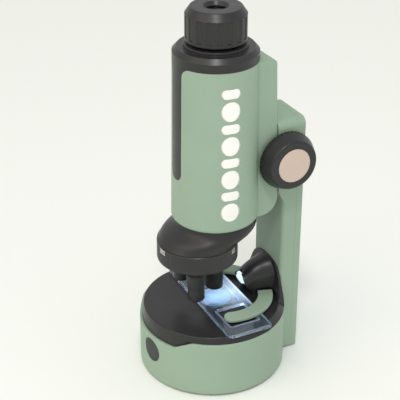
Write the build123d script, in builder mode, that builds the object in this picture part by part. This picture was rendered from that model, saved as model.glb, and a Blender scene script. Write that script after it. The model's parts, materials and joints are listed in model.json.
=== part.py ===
from build123d import *
import math
import os

os.makedirs("parts", exist_ok=True)

# Kids microscope, millimetres, +Z up.
# -Y is the user's side, +Y the arm, and +X the side of the right-hand focus knob.
# The dimensions are measured from the optical axis; each piece is then saved so that
# the origin lies on the ground under the middle of the microscope's outline.

# ---- driving dimensions ------------------------------------------------------
WALL = 2.2                  # moulded wall thickness
FIT = 0.06                  # radial running clearance

BASE_Y = -1.3               # centre of the drum-shaped base
BASE_R = 40.2
BASE_LOW = 1.0              # underside of the base above the ground
RIM_Z = 33.3                # top of the base wall
DECK_Z = 36.9               # stage surface
DECK_TOP = (-1.8, 37.5)     # centre Y and radius of the deck's top edge
DECK_RIM = (-0.45, 39.35)   # and of its lower edge, so that the side slopes more at the back
DECK_HOLLOW_R = 36.7
LIP_Z = 28.3                # the deck's skirt dips to here at the front
LIP_R = 39.2                # outside radius of the skirt at its lower edge

ARM_X = 14.7                # half width of the arm
ARM_FRONT = 33.5
ARM_BACK = 45.9
ARM_SPLIT = 41.8            # seam between the arm's shell and its back cover
ARM_TOP = 143.8
HEAD_LOW = 102.8            # underside of the arm's head
HEAD_GAP = 0.6              # gap between the head and the carriage

BARREL_LOW = 91.1
BARREL_TOP = 180.9
BARREL_R_LOW = 23.2
BARREL_R_TOP = 22.0
BLOCK_X = 14.0              # half width of the carriage block behind the barrel
BLOCK_LOW = BARREL_LOW
BLOCK_TOP = 178.6
BLOCK_Y_LOW = 30.4          # its rear face leans a little
BLOCK_Y_TOP = 27.2
PLATE_LOW = 101.8           # the plate that closes the block from behind
PLATE_TOP = 174.3
PLATE_X = 11.4

COLLAR_TOP = 186.3
STRIPE_X = 5.0              # half width of the black stripe down the barrel
STRIPE_LOW = 116.8
BAND_H = 1.5                # the stripe joins a low band round the top of the barrel
EYE_LOW = 189.3
EYE_SIDE = 202.9
EYE_TOP = 206.6
EYE_R = 15.6
EYE_FLUTES = 18

TURRET_Y = -10.4            # the turret turns about an axis in front of the barrel's
TURRET_R = 21.75
TURRET_LOW = 67.6
TURRET_TOP = 78.9
OBJECTIVE_TIPS = (44.8, 46.5, 49.8)

KNOB_Y = 33.2
KNOB_Z = 122.8
KNOB_IN = 16.0              # inner face of a knob
KNOB_OUT = 25.0
KNOB_R_IN = 15.9
KNOB_R_OUT = 13.2
CAP_R = 9.3
SHAFT_R = 2.0

GEAR_MODULE = 0.8
GEAR_TEETH = 10
GEAR_R = GEAR_MODULE * GEAR_TEETH / 2
BACKLASH = 0.3

SLIDE_X, SLIDE_Y, SLIDE_T = 76.0, 26.0, 1.4
SLIDE_CENTRE = (1.2, 2.2)
SLIDE_Z = DECK_Z + 0.05
CLIP_Z = SLIDE_Z + SLIDE_T + 0.1
CLIP_T = 1.6
CLIP_CENTRE = (2.0, 5.0)    # centre of the clip's curve
CLIP_R_IN, CLIP_R_OUT = 19.0, 27.2
CLIP_TIP_ANGLE, CLIP_END_ANGLE = -17.0, 71.0
CLIP_PIVOT_ANGLE = 64.0

BUTTON_Z = 18.7
BUTTON_R = 6.8
BUTTON_TURN = 7.5           # the button sits this far round the drum from the front
LAMP_TILT = 26.0            # the lamp looks down at the specimen by this angle
LAMP_Z = DECK_Z + 6.6
OUTLINE_Y = (BASE_Y - BASE_R + KNOB_Y + KNOB_R_IN) / 2  # middle of the outline, front to back


def block_rear(z):
    """Y of the carriage block's rear face at a height."""
    lean = (BLOCK_Y_TOP - BLOCK_Y_LOW) / (BLOCK_TOP - BLOCK_LOW)
    return BLOCK_Y_LOW + lean * (z - BLOCK_LOW)


def barrel_radius(z):
    """Outside radius of the flared barrel at a height."""
    flare = (BARREL_R_TOP - BARREL_R_LOW) / (BARREL_TOP - BARREL_LOW)
    return BARREL_R_LOW + flare * (z - BARREL_LOW)


def button_plane(radius, z=BUTTON_Z):
    """Upright plane across the button's axis, at a distance from the drum's centre; it faces out."""
    turn = math.radians(BUTTON_TURN)
    outward = (math.sin(turn), -math.cos(turn), 0)
    origin = (radius * outward[0], BASE_Y + radius * outward[1], z)
    return Plane(origin, x_dir=(math.cos(turn), math.sin(turn), 0), z_dir=outward)


def save(piece, name):
    """Write a finished piece's STEP file, placed about the middle of the outline."""
    placed = Compound([solid.moved(Location((0, -OUTLINE_Y, 0))) for solid in piece.part.solids()])
    placed.label = name
    export_step(placed, "parts/" + name + ".step")


def screw_group(planes, head_r, head_h, shank_r, length):
    """Pan-head screws; each plane sits under a head with its Z pointing out."""
    with BuildPart() as screws:
        for plane in planes:
            with BuildSketch(plane):
                Circle(head_r)
            extrude(amount=head_h)
            with BuildSketch(plane.offset(head_h)):
                Rectangle(1.5 * head_r, 0.4 * head_r)
                Rectangle(0.4 * head_r, 1.5 * head_r)
            extrude(amount=-0.5 * head_h, mode=Mode.SUBTRACT)
            with BuildSketch(plane):
                Circle(shank_r)
            extrude(amount=-length)
    return screws


# ---- base: drum, floor and feet ------------------------------------------------
arm_slot = Rectangle(2 * ARM_X + 0.1, 30, align=(Align.CENTER, Align.MIN), mode=Mode.PRIVATE)


LIP_FLAT, LIP_END = 21.0, 28.5      # half widths of the lip at its foot and at the rim


def lip_outline(grow=0.0):
    """Front view of the dipped lip: a shallow tray shape with S-curved ends."""
    with BuildSketch(Plane.XZ) as outline:
        with BuildLine():
            Polyline(
                (-LIP_END - 6, RIM_Z + 1),
                (-LIP_END - 4, RIM_Z - grow),
                (-LIP_END, RIM_Z - grow),
                (-LIP_FLAT, LIP_Z - grow),
                (LIP_FLAT, LIP_Z - grow),
                (LIP_END, RIM_Z - grow),
                (LIP_END + 4, RIM_Z - grow),
                (LIP_END + 6, RIM_Z + 1),
                close=True,
            )
        make_face()
        bends = outline.vertices().filter_by(lambda v: abs(v.X) in (LIP_FLAT, LIP_END))
        fillet(bends, 3.6)
    return outline.sketch


base_plane = Plane.XY.offset(BASE_LOW)
with BuildPart() as base_shell:
    with BuildSketch(base_plane):
        with Locations((0, BASE_Y)):
            Circle(BASE_R)
    extrude(amount=RIM_Z - BASE_LOW)
    fillet(base_shell.edges().group_by(Axis.Z)[0], 1.2)
    fillet(base_shell.edges().group_by(Axis.Z)[-1], 0.8)
    with BuildSketch(base_plane):
        with Locations((0, BASE_Y)):
            Circle(BASE_R - WALL)
    extrude(amount=RIM_Z, mode=Mode.SUBTRACT)
    # notch for the deck's dipped lip
    extrude(lip_outline(0.05), amount=BASE_R + 10, mode=Mode.SUBTRACT)
    # opening for the foot of the arm
    with BuildSketch(Plane.XY):
        with Locations((0, ARM_FRONT - 0.05)):
            add(arm_slot)
    extrude(amount=RIM_Z + 1, mode=Mode.SUBTRACT)
    # round hole for the power button
    with BuildSketch(button_plane(BASE_R - 5)):
        Circle(BUTTON_R + 0.15)
    extrude(amount=10, mode=Mode.SUBTRACT)
save(base_shell, "base_shell")

PLATE_T = 2.4
DOOR_X, DOOR_Y, DOOR_CENTRE_Y = 50.0, 35.0, 4.0
FOOT_R, FOOT_DEPTH = 4.0, 0.8
FOOT_RING = 33.5
FOOT_SPOTS = [(FOOT_RING * math.cos(math.radians(a)), BASE_Y + FOOT_RING * math.sin(math.radians(a)))
              for a in (30, 150, 215, 325)]
FLOOR_SCREW_SPOTS = [(-18, -30), (18, -30), (-19, 27), (19, 27)]
with BuildPart() as base_plate:
    with BuildSketch(base_plane):
        with Locations((0, BASE_Y)):
            Circle(BASE_R - WALL - 0.1)
        with Locations((0, ARM_FRONT - 0.05)):
            add(arm_slot, mode=Mode.SUBTRACT)
        with Locations((0, DOOR_CENTRE_Y)):
            RectangleRounded(DOOR_X, DOOR_Y, 2, mode=Mode.SUBTRACT)
        with Locations(*FLOOR_SCREW_SPOTS):
            Circle(1.3, mode=Mode.SUBTRACT)
    extrude(amount=PLATE_T)
    with BuildSketch(base_plane):
        with Locations(*FOOT_SPOTS):
            Circle(FOOT_R + 0.05)
        with Locations(*FLOOR_SCREW_SPOTS):
            Circle(2.6)
    extrude(amount=FOOT_DEPTH, mode=Mode.SUBTRACT)
save(base_plate, "base_plate")

with BuildPart() as rubber_feet:
    with BuildSketch():
        with Locations(*FOOT_SPOTS):
            Circle(FOOT_R)
    extrude(amount=BASE_LOW + FOOT_DEPTH)
    fillet(rubber_feet.edges().group_by(Axis.Z)[0], 0.5)
save(rubber_feet, "rubber_feet")

# posts rise from behind the deck for the four floor screws
with BuildPart() as screw_posts:
    with BuildSketch(base_plane.offset(PLATE_T)):
        with Locations(*FLOOR_SCREW_SPOTS):
            Circle(2.6)
            Circle(0.95, mode=Mode.SUBTRACT)
    extrude(amount=DECK_Z - WALL - BASE_LOW - PLATE_T)
save(screw_posts, "screw_posts")

floor_screws = screw_group(
    [Plane((x, y, BASE_LOW + FOOT_DEPTH), z_dir=(0, 0, -1)) for x, y in FLOOR_SCREW_SPOTS],
    2.4, 0.7, 0.9, 12)
save(floor_screws, "floor_screws")

# ---- battery bay ---------------------------------------------------------------
CELL_R, CELL_L = 5.2, 44.0
CELL_Z = BASE_LOW + 2.2 + CELL_R + 0.3
CELL_YS = [DOOR_CENTRE_Y + step * 10.9 for step in (-1, 0, 1)]
TRAY_TOP = CELL_Z + CELL_R + 2.0

with BuildPart() as battery_door:
    with BuildSketch(base_plane):
        with Locations((0, DOOR_CENTRE_Y)):
            RectangleRounded(DOOR_X - 0.4, DOOR_Y - 0.4, 1.8)
    extrude(amount=1.6)
    with BuildSketch(base_plane):
        with Locations(*[(-17, DOOR_CENTRE_Y + step) for step in (-4, 0, 4)]):
            RectangleRounded(8, 1.4, 0.6)
    extrude(amount=0.5, mode=Mode.SUBTRACT)
    with BuildSketch(base_plane):
        with Locations((DOOR_X / 2 - 3.6, DOOR_CENTRE_Y)):
            Circle(1.2)
    extrude(amount=1.6, mode=Mode.SUBTRACT)
save(battery_door, "battery_door")

door_screw = screw_group(
    [Plane((DOOR_X / 2 - 3.6, DOOR_CENTRE_Y, BASE_LOW), z_dir=(0, 0, -1))], 2.0, 0.6, 0.9, 1.55)
save(door_screw, "battery_door_screw")

with BuildPart() as battery_tray:
    with BuildSketch(base_plane.offset(PLATE_T)):
        with Locations((0, DOOR_CENTRE_Y)):
            RectangleRounded(DOOR_X + 3.2, DOOR_Y + 3.2, 2)
    extrude(amount=TRAY_TOP - BASE_LOW - PLATE_T)
    with BuildSketch(base_plane.offset(PLATE_T)):
        with Locations((0, DOOR_CENTRE_Y)):
            Rectangle(DOOR_X - 0.4, DOOR_Y - 0.4)
    extrude(amount=TRAY_TOP - BASE_LOW - PLATE_T - 1.4, mode=Mode.SUBTRACT)
save(battery_tray, "battery_tray")

with BuildPart() as batteries:
    for index, y in enumerate(CELL_YS):
        side = 1 if index % 2 == 0 else -1
        with BuildSketch(Plane((-side * CELL_L / 2, y, CELL_Z), z_dir=(side, 0, 0))):
            Circle(CELL_R)
        extrude(amount=CELL_L - 1)
        with BuildSketch(Plane((side * (CELL_L / 2 - 1), y, CELL_Z), z_dir=(side, 0, 0))):
            Circle(1.9)
        extrude(amount=1)
save(batteries, "batteries")

CONTACT_X = DOOR_X / 2 - 0.9
with BuildPart() as battery_contacts:
    for side in (-1, 1):
        for y in CELL_YS:
            with BuildSketch(Plane((side * CONTACT_X, y, CELL_Z), z_dir=(-side, 0, 0))):
                RectangleRounded(7, 7, 1)
            extrude(amount=0.4)
save(battery_contacts, "battery_contacts")

with BuildPart() as battery_springs:
    for index, y in enumerate(CELL_YS):
        side = 1 if index % 2 == 0 else -1
        with BuildLine():
            coil = Helix(pitch=0.45, height=0.95, radius=2.6, direction=(side, 0, 0),
                         center=(-side * (CONTACT_X - 0.7), y, CELL_Z))
        with BuildSketch(Plane(coil @ 0, z_dir=coil % 0)):
            Circle(0.2)
        sweep(path=coil)
save(battery_springs, "battery_springs")

# ---- power button and electronics -----------------------------------------------
BUTTON_TRAVEL = 1.2
BUTTON_BACK = BASE_R - WALL - 2.4   # back of the button's cap, from the drum's centre
BOARD_FACE = 29.1           # front face of the circuit board, from the drum's centre
SWITCH_H = 3.4
PLUNGER_H = 1.2

with BuildPart() as power_button:
    with BuildSketch(button_plane(BUTTON_BACK)):
        Circle(BUTTON_R)
    extrude(amount=10)
    # the cap follows the drum's curve
    with BuildSketch(base_plane):
        with Locations((0, BASE_Y)):
            Circle(BASE_R - 0.1)
    extrude(amount=RIM_Z, mode=Mode.INTERSECT)
    with BuildSketch(button_plane(BUTTON_BACK)):
        Circle(BUTTON_R + 1.3)
    extrude(amount=1.2)
    with BuildSketch(button_plane(BOARD_FACE + SWITCH_H + PLUNGER_H + BUTTON_TRAVEL + 0.05)):
        Circle(1.8)
    extrude(until=Until.NEXT)
save(power_button, "power_button")

with BuildPart() as circuit_board:
    with BuildSketch(button_plane(BOARD_FACE)):
        RectangleRounded(20, 18, 1)
    extrude(amount=-1.6)
    # a chip and three small soldered parts
    with BuildSketch(button_plane(BOARD_FACE)):
        with Locations((6.8, 3)):
            Rectangle(5, 4)
        with Locations((-7.2, 4), (-7.2, 0), (-7.2, -4)):
            Rectangle(3.2, 1.6)
    extrude(amount=1.2)
save(circuit_board, "circuit_board")

with BuildPart() as tact_switch:
    with BuildSketch(button_plane(BOARD_FACE)):
        Rectangle(6, 6)
    extrude(amount=SWITCH_H)
    with BuildSketch(button_plane(BOARD_FACE + SWITCH_H)):
        Circle(1.7)
    extrude(amount=PLUNGER_H)
save(tact_switch, "tact_switch")

# ---- stage deck -----------------------------------------------------------------
WINDOW_R = 8.0
LED_R = 2.5
CLIP_PIVOT_R = (CLIP_R_IN + CLIP_R_OUT) / 2
CLIP_PIVOT = (
    CLIP_CENTRE[0] + CLIP_PIVOT_R * math.cos(math.radians(CLIP_PIVOT_ANGLE)),
    CLIP_CENTRE[1] + CLIP_PIVOT_R * math.sin(math.radians(CLIP_PIVOT_ANGLE)),
)
CLIP_POST_R = 1.5

# the skirt: a tapered ring trimmed to the lip's outline
SKIRT_RIM_R = DECK_RIM[1] - (DECK_RIM[0] - BASE_Y) - 0.05  # just inside the deck's rim at the front
with BuildPart() as skirt:
    with BuildSketch(Plane((0, BASE_Y, 0), x_dir=(1, 0, 0), z_dir=(0, -1, 0))):
        with BuildLine():
            Polyline((DECK_HOLLOW_R + 0.2, LIP_Z - 1), (LIP_R, LIP_Z - 1), (SKIRT_RIM_R, RIM_Z),
                     (SKIRT_RIM_R - 0.9, RIM_Z + 1), (DECK_HOLLOW_R + 0.2, RIM_Z + 1), close=True)
        make_face()
    revolve(axis=Axis((0, BASE_Y, 0), (0, 0, 1)))
    extrude(lip_outline(), amount=BASE_R + 10, mode=Mode.INTERSECT)

# the fairing in front of the arm, which spreads down to the rim of the drum
FAIRING_TOP = DECK_Z + 20.2
FAIRING_SIDE = ((20.4, RIM_Z), (19.8, DECK_Z), (18.3, DECK_Z + 4.2), (16.2, DECK_Z + 8.6),
                (ARM_X, DECK_Z + 12.4), (12.4, DECK_Z + 16.2), (8.0, DECK_Z + 19.2))
FAIRING_FRONT = ((26.0, RIM_Z), (29.6, DECK_Z), (31.4, DECK_Z + 5.0), (32.2, DECK_Z + 14.0), (32.6, FAIRING_TOP))
with BuildPart() as fairing:
    with BuildSketch(Plane.XZ.offset(-20)):
        with BuildLine():
            Spline(*FAIRING_SIDE)
            Spline(*[(-x, z) for x, z in FAIRING_SIDE])
            ThreePointArc(FAIRING_SIDE[-1], (0, FAIRING_TOP), (-FAIRING_SIDE[-1][0], FAIRING_SIDE[-1][1]))
            Line((-FAIRING_SIDE[0][0], RIM_Z), (FAIRING_SIDE[0][0], RIM_Z))
        make_face()
    extrude(amount=-(ARM_FRONT - 0.1 - 20))
    with BuildSketch(Plane.YZ):
        with BuildLine():
            Spline(*FAIRING_FRONT)
            Polyline(FAIRING_FRONT[-1], (ARM_FRONT + 1, FAIRING_TOP), (ARM_FRONT + 1, RIM_Z), FAIRING_FRONT[0])
        make_face()
    extrude(amount=30, both=True, mode=Mode.INTERSECT)
    with BuildSketch(Plane.XY):
        with Locations((0, BASE_Y)):
            Circle(BASE_R)
    extrude(amount=FAIRING_TOP + 5, mode=Mode.INTERSECT)

# the fairing's foot is moulded with the deck, the rest of it with the lamp hood
with BuildPart() as fairing_foot:
    add(fairing.part)
    split(bisect_by=Plane.XY.offset(DECK_Z), keep=Keep.BOTTOM)
    with BuildSketch(Plane.XY):
        with Locations((0, BASE_Y)):
            Circle(DECK_HOLLOW_R)
    extrude(amount=DECK_Z - WALL, mode=Mode.SUBTRACT)

with BuildPart() as stage_deck:
    # oblique frustum: upright at the front and sloping at the back
    for height, (centre, radius) in ((RIM_Z, DECK_RIM), (DECK_Z, DECK_TOP)):
        with BuildSketch(Plane.XY.offset(height)):
            with Locations((0, centre)):
                Circle(radius)
    loft()
    fillet(stage_deck.edges().group_by(Axis.Z)[-1], 0.9)
    with BuildSketch(Plane.XY.offset(RIM_Z - 1)):
        with Locations((0, BASE_Y)):
            Circle(DECK_HOLLOW_R)
    extrude(amount=DECK_Z - WALL - RIM_Z + 1, mode=Mode.SUBTRACT)
    add(skirt.part)
    add(fairing_foot.part)
    # opening for the arm, the light window, the lamp's cable and the clip posts
    with BuildSketch(Plane.XY.offset(LIP_Z)):
        with Locations((0, ARM_FRONT - 0.05)):
            add(arm_slot)
        with Locations((0, 0)):
            Circle(WINDOW_R + 0.05)
        with Locations((0, 26)):
            RectangleRounded(8, 7, 1)
        with Locations((CLIP_PIVOT[0], CLIP_PIVOT[1]), (-CLIP_PIVOT[0], CLIP_PIVOT[1])):
            Circle(CLIP_POST_R)
    extrude(amount=20, mode=Mode.SUBTRACT)
    # shallow step that seats the window
    with BuildSketch(Plane.XY.offset(DECK_Z - 0.9)):
        Circle(WINDOW_R + 1.05)
    extrude(amount=5, mode=Mode.SUBTRACT)
save(stage_deck, "stage_deck")

with BuildPart() as stage_window:
    with BuildSketch(Plane.XY.offset(DECK_Z - WALL)):
        Circle(WINDOW_R)
    extrude(amount=WALL - 0.05)
    with BuildSketch(Plane.XY.offset(DECK_Z - 0.85)):
        Circle(WINDOW_R + 1.0)
    extrude(amount=0.8)
save(stage_window, "stage_window")

with BuildPart() as stage_led:
    with BuildSketch(Plane.XY.offset(DECK_Z - 9.0)):
        Circle(LED_R + 0.4)
    extrude(amount=1.0)
    with BuildSketch(Plane.XY.offset(DECK_Z - 8.0)):
        Circle(LED_R)
    extrude(amount=4.4)
    fillet(stage_led.edges().group_by(Axis.Z)[-1], 2.3)
save(stage_led, "stage_led")

with BuildPart() as stage_led_board:
    with BuildSketch(Plane.XY.offset(DECK_Z - 10.6)):
        RectangleRounded(14, 12, 1)
    extrude(amount=1.5)
save(stage_led_board, "stage_led_board")

# ---- lamp hood behind the specimen -------------------------------------------------
HOOD_SECTIONS = (           # Y, half width, heights above the deck of the arch's spring and crown
    (16.0, 6.8, 5.4, 12.2),
    (21.0, 7.2, 8.2, 15.4),
    (26.0, 8.0, 10.2, 17.8),
    (29.5, 9.0, 10.9, 19.0),
    (31.6, 10.3, 11.7, 19.7),
    (ARM_FRONT - 0.1, 12.2, 12.8, 20.2),
)
LAMP_AXIS = Plane((0, 13.8, LAMP_Z), z_dir=(0, math.cos(math.radians(LAMP_TILT)),
                                            math.sin(math.radians(LAMP_TILT))))
LAMP_BORE_R = 4.2
CLIP_ROOM_R = 5.9           # the hood is undercut round each clip's pivot

with BuildPart() as lamp_housing:
    for y, half, spring, crown in HOOD_SECTIONS:
        with BuildSketch(Plane.XZ.offset(-y)):
            with BuildLine():
                Polyline((-half, DECK_Z + spring), (-half, DECK_Z), (half, DECK_Z), (half, DECK_Z + spring))
                ThreePointArc((half, DECK_Z + spring), (0, DECK_Z + crown), (-half, DECK_Z + spring))
            make_face()
    loft()
    add(fairing.part)
    split(bisect_by=Plane.XY.offset(DECK_Z), keep=Keep.TOP)
    # the nose is cut square to the lamp's axis, and undercut below it
    with BuildSketch(LAMP_AXIS.offset(3.0)):
        Rectangle(60, 60)
    extrude(amount=-20, mode=Mode.SUBTRACT)
    with BuildSketch(Plane.YZ):
        with BuildLine():
            Polyline((10, DECK_Z - 1), (21.5, DECK_Z - 1), (21.5, DECK_Z + 2), (18.6, DECK_Z + 4),
                     (10, DECK_Z + 4), close=True)
        make_face()
    extrude(amount=20, both=True, mode=Mode.SUBTRACT)
    # bore for the lamp, and a hollow that leads the cable down to the base
    with BuildSketch(LAMP_AXIS):
        Circle(LAMP_BORE_R)
    extrude(amount=14, mode=Mode.SUBTRACT)
    with BuildSketch(Plane.YZ):
        with BuildLine():
            Polyline((23.0, DECK_Z - 1), (29.0, DECK_Z - 1), (29.0, DECK_Z + 15.9), (23.5, DECK_Z + 13.4),
                     close=True)
        make_face()
    extrude(amount=4.0, both=True, mode=Mode.SUBTRACT)
    # room for the clips' tucked-in ends
    with BuildSketch(Plane.XY.offset(DECK_Z - 1)):
        with Locations((CLIP_PIVOT[0], CLIP_PIVOT[1]), (-CLIP_PIVOT[0], CLIP_PIVOT[1])):
            Circle(CLIP_ROOM_R)
    extrude(amount=CLIP_Z + CLIP_T + 0.3 - DECK_Z + 1, mode=Mode.SUBTRACT)
save(lamp_housing, "lamp_housing")

with BuildPart() as lamp_lens:
    with BuildSketch(LAMP_AXIS.offset(3.4)):
        Circle(LAMP_BORE_R - 0.05)
    extrude(amount=1.6)
    with BuildSketch(LAMP_AXIS.offset(1.9)):
        Circle(3.2)
    extrude(amount=1.5)
    fillet(lamp_lens.edges().group_by(Axis((0, 0, 0), LAMP_AXIS.z_dir))[0], 1.2)
save(lamp_lens, "lamp_lens")

with BuildPart() as lamp_led:
    with BuildSketch(LAMP_AXIS.offset(5.4)):
        Circle(LED_R)
    extrude(amount=5.0)
    fillet(lamp_led.edges().group_by(Axis((0, 0, 0), LAMP_AXIS.z_dir))[0], 2.3)
    with BuildSketch(LAMP_AXIS.offset(9.4)):
        Circle(LED_R + 0.4)
    extrude(amount=1.0)
save(lamp_led, "lamp_led")

with BuildPart() as lamp_board:
    with BuildSketch(LAMP_AXIS.offset(10.5)):
        Circle(LAMP_BORE_R - 0.1)
    extrude(amount=1.2)
save(lamp_board, "lamp_board")

with BuildPart() as lamp_cable:
    for side in (-1, 1):
        with BuildLine():
            lead = Spline((side * 1.2, 26.4, DECK_Z + 12.0), (side * 1.2, 26.8, DECK_Z + 3.4),
                          (side * 1.2, 25.6, DECK_Z - 4.6), (side * 1.6, 27.0, DECK_Z - 12.6),
                          tangents=((0, 0.1, -1), (0, 0.2, -1)))
        with BuildSketch(Plane(lead @ 0, z_dir=lead % 0)):
            Circle(0.65)
        sweep(path=lead)
save(lamp_cable, "lamp_cable")

# ---- specimen slide and stage clips ---------------------------------------------------
SLIDE_WINDOW = (17.0, 16.8)
SLIDE_WINDOW_SPOTS = [(SLIDE_CENTRE[0] + step * 21.0, SLIDE_CENTRE[1] + 0.5) for step in (-1, 1)]
SLIDE_WELL = 17.1
with BuildPart() as specimen_slide:
    with BuildSketch(Plane.XY.offset(SLIDE_Z)):
        with Locations(SLIDE_CENTRE):
            RectangleRounded(SLIDE_X, SLIDE_Y, 2.5)
    extrude(amount=SLIDE_T)
    # raised bead round the rim, and two open windows with their own beads
    with BuildSketch(Plane.XY.offset(SLIDE_Z + SLIDE_T - 0.35)):
        with Locations(SLIDE_CENTRE):
            RectangleRounded(SLIDE_X - 1.6, SLIDE_Y - 1.6, 1.7)
        with Locations(*SLIDE_WINDOW_SPOTS):
            RectangleRounded(SLIDE_WINDOW[0] + 1.6, SLIDE_WINDOW[1] + 1.6, 1.6, mode=Mode.SUBTRACT)
    extrude(amount=1, mode=Mode.SUBTRACT)
    with BuildSketch(Plane.XY.offset(SLIDE_Z - 1)):
        with Locations(*SLIDE_WINDOW_SPOTS):
            RectangleRounded(*SLIDE_WINDOW, 0.8)
    extrude(amount=5, mode=Mode.SUBTRACT)
    # shallow well for the specimen
    with BuildSketch(Plane.XY.offset(SLIDE_Z + SLIDE_T - 0.85)):
        with Locations(SLIDE_CENTRE):
            RectangleRounded(SLIDE_WELL, SLIDE_WELL, 0.8)
    extrude(amount=1, mode=Mode.SUBTRACT)
save(specimen_slide, "specimen_slide")

with BuildPart() as cover_glass:
    with BuildSketch(Plane.XY.offset(SLIDE_Z + SLIDE_T - 0.84)):
        with Locations(SLIDE_CENTRE):
            RectangleRounded(SLIDE_WELL - 0.1, SLIDE_WELL - 0.1, 0.7)
    extrude(amount=0.4)
save(cover_glass, "cover_glass")


def on_clip_curve(radius, angle):
    """A point of the right-hand clip, in polar form about the centre of its curve."""
    turn = math.radians(angle)
    return (CLIP_CENTRE[0] + radius * math.cos(turn), CLIP_CENTRE[1] + radius * math.sin(turn))


with BuildPart() as stage_clip_right:
    with BuildSketch(Plane.XY.offset(CLIP_Z)):
        with BuildLine():
            middle = (CLIP_R_IN + CLIP_R_OUT) / 2
            width = CLIP_R_OUT - CLIP_R_IN
            tip_swing = math.degrees(width / 2 / middle)
            bend = (CLIP_TIP_ANGLE + CLIP_END_ANGLE) / 2
            ThreePointArc(on_clip_curve(CLIP_R_OUT, CLIP_TIP_ANGLE), on_clip_curve(CLIP_R_OUT, bend),
                          on_clip_curve(CLIP_R_OUT, CLIP_END_ANGLE))
            Line(on_clip_curve(CLIP_R_OUT, CLIP_END_ANGLE), on_clip_curve(CLIP_R_IN, CLIP_END_ANGLE))
            ThreePointArc(on_clip_curve(CLIP_R_IN, CLIP_END_ANGLE), on_clip_curve(CLIP_R_IN, bend),
                          on_clip_curve(CLIP_R_IN, CLIP_TIP_ANGLE))
            ThreePointArc(on_clip_curve(CLIP_R_IN, CLIP_TIP_ANGLE),
                          on_clip_curve(middle, CLIP_TIP_ANGLE - tip_swing),
                          on_clip_curve(CLIP_R_OUT, CLIP_TIP_ANGLE))
        make_face()
    extrude(amount=CLIP_T)
    fillet(stage_clip_right.edges().group_by(Axis.Z)[-1], 0.4)
    # boss that holds the clip above the slide, and the blind bore for its post
    with BuildSketch(Plane.XY.offset(DECK_Z + 0.05)):
        with Locations(CLIP_PIVOT):
            Circle(3.2)
    extrude(amount=CLIP_Z - DECK_Z)
    with BuildSketch(Plane.XY.offset(DECK_Z)):
        with Locations(CLIP_PIVOT):
            Circle(CLIP_POST_R + FIT)
    extrude(amount=CLIP_Z + CLIP_T - 0.5 - DECK_Z, mode=Mode.SUBTRACT)
save(stage_clip_right, "stage_clip_right")

with BuildPart() as stage_clip_left:
    mirror(stage_clip_right.part, about=Plane.YZ)
save(stage_clip_left, "stage_clip_left")

with BuildPart() as clip_posts:
    with BuildSketch(Plane.XY.offset(DECK_Z - WALL - 3)):
        with Locations((CLIP_PIVOT[0], CLIP_PIVOT[1]), (-CLIP_PIVOT[0], CLIP_PIVOT[1])):
            Circle(CLIP_POST_R - 0.01)
    extrude(amount=CLIP_Z + CLIP_T - 0.6 - DECK_Z + WALL + 3)
    chamfer(clip_posts.edges().group_by(Axis.Z)[-1], 0.4)
    # flange under the deck
    with BuildSketch(Plane.XY.offset(DECK_Z - WALL - 1.3)):
        with Locations((CLIP_PIVOT[0], CLIP_PIVOT[1]), (-CLIP_PIVOT[0], CLIP_PIVOT[1])):
            Circle(3.0)
    extrude(amount=1.2)
save(clip_posts, "clip_posts")

# ---- arm: front shell and back cover -----------------------------------------------------
HEAD_WALL = 1.2
ARM_SCREW_SPOTS = [(x, z) for z in (16.0, 86.0) for x in (-8.5, 8.5)]
RAIL_X, RAIL_NECK, RAIL_FLANGE = 9.0, 1.6, 4.0
RAIL_Z = (KNOB_Z - 11.5, KNOB_Z + 17.5)
RAIL_LUGS = ((RAIL_Z[0], RAIL_Z[0] + 6.0), (RAIL_Z[1] - 10.0, RAIL_Z[1]))
BUSH_R = 2.8


def head_face(z):
    """Y of the head's front face, which follows the leaning carriage block."""
    return block_rear(z) + HEAD_GAP


def arm_side(inset, wall):
    """Side view of the arm, shrunk by an inset; wall is the inset of the head's face."""
    with BuildSketch(Plane.YZ) as side:
        with BuildLine():
            Polyline(
                (ARM_FRONT + inset, BASE_LOW + inset),
                (ARM_FRONT + inset, HEAD_LOW - 5.5 + inset),
                (head_face(HEAD_LOW) + wall, HEAD_LOW + inset),
                (head_face(ARM_TOP) + wall, ARM_TOP - inset),
                (ARM_BACK - inset, ARM_TOP - inset),
                (ARM_BACK - inset, BASE_LOW + inset),
                close=True,
            )
        make_face()
    return side.sketch


with BuildPart() as arm_block:
    for side in (-1, 1):
        extrude(arm_side(0, 0), amount=side * ARM_X)
    fillet(arm_block.edges().filter_by(Axis.Y).group_by(Axis.Z)[-1], 4.5)
    rear_edges = arm_block.edges().filter_by(Axis.Z).group_by(Axis.Y)[-1]
    fillet(rear_edges, 1.2)
    front_edges = arm_block.edges().filter_by(Axis.Z).group_by(Axis.Y)[0]
    fillet(front_edges, 2.0)

with BuildPart() as arm_hollow:
    for side in (-1, 1):
        extrude(arm_side(WALL, HEAD_WALL), amount=side * (ARM_X - WALL))

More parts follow.
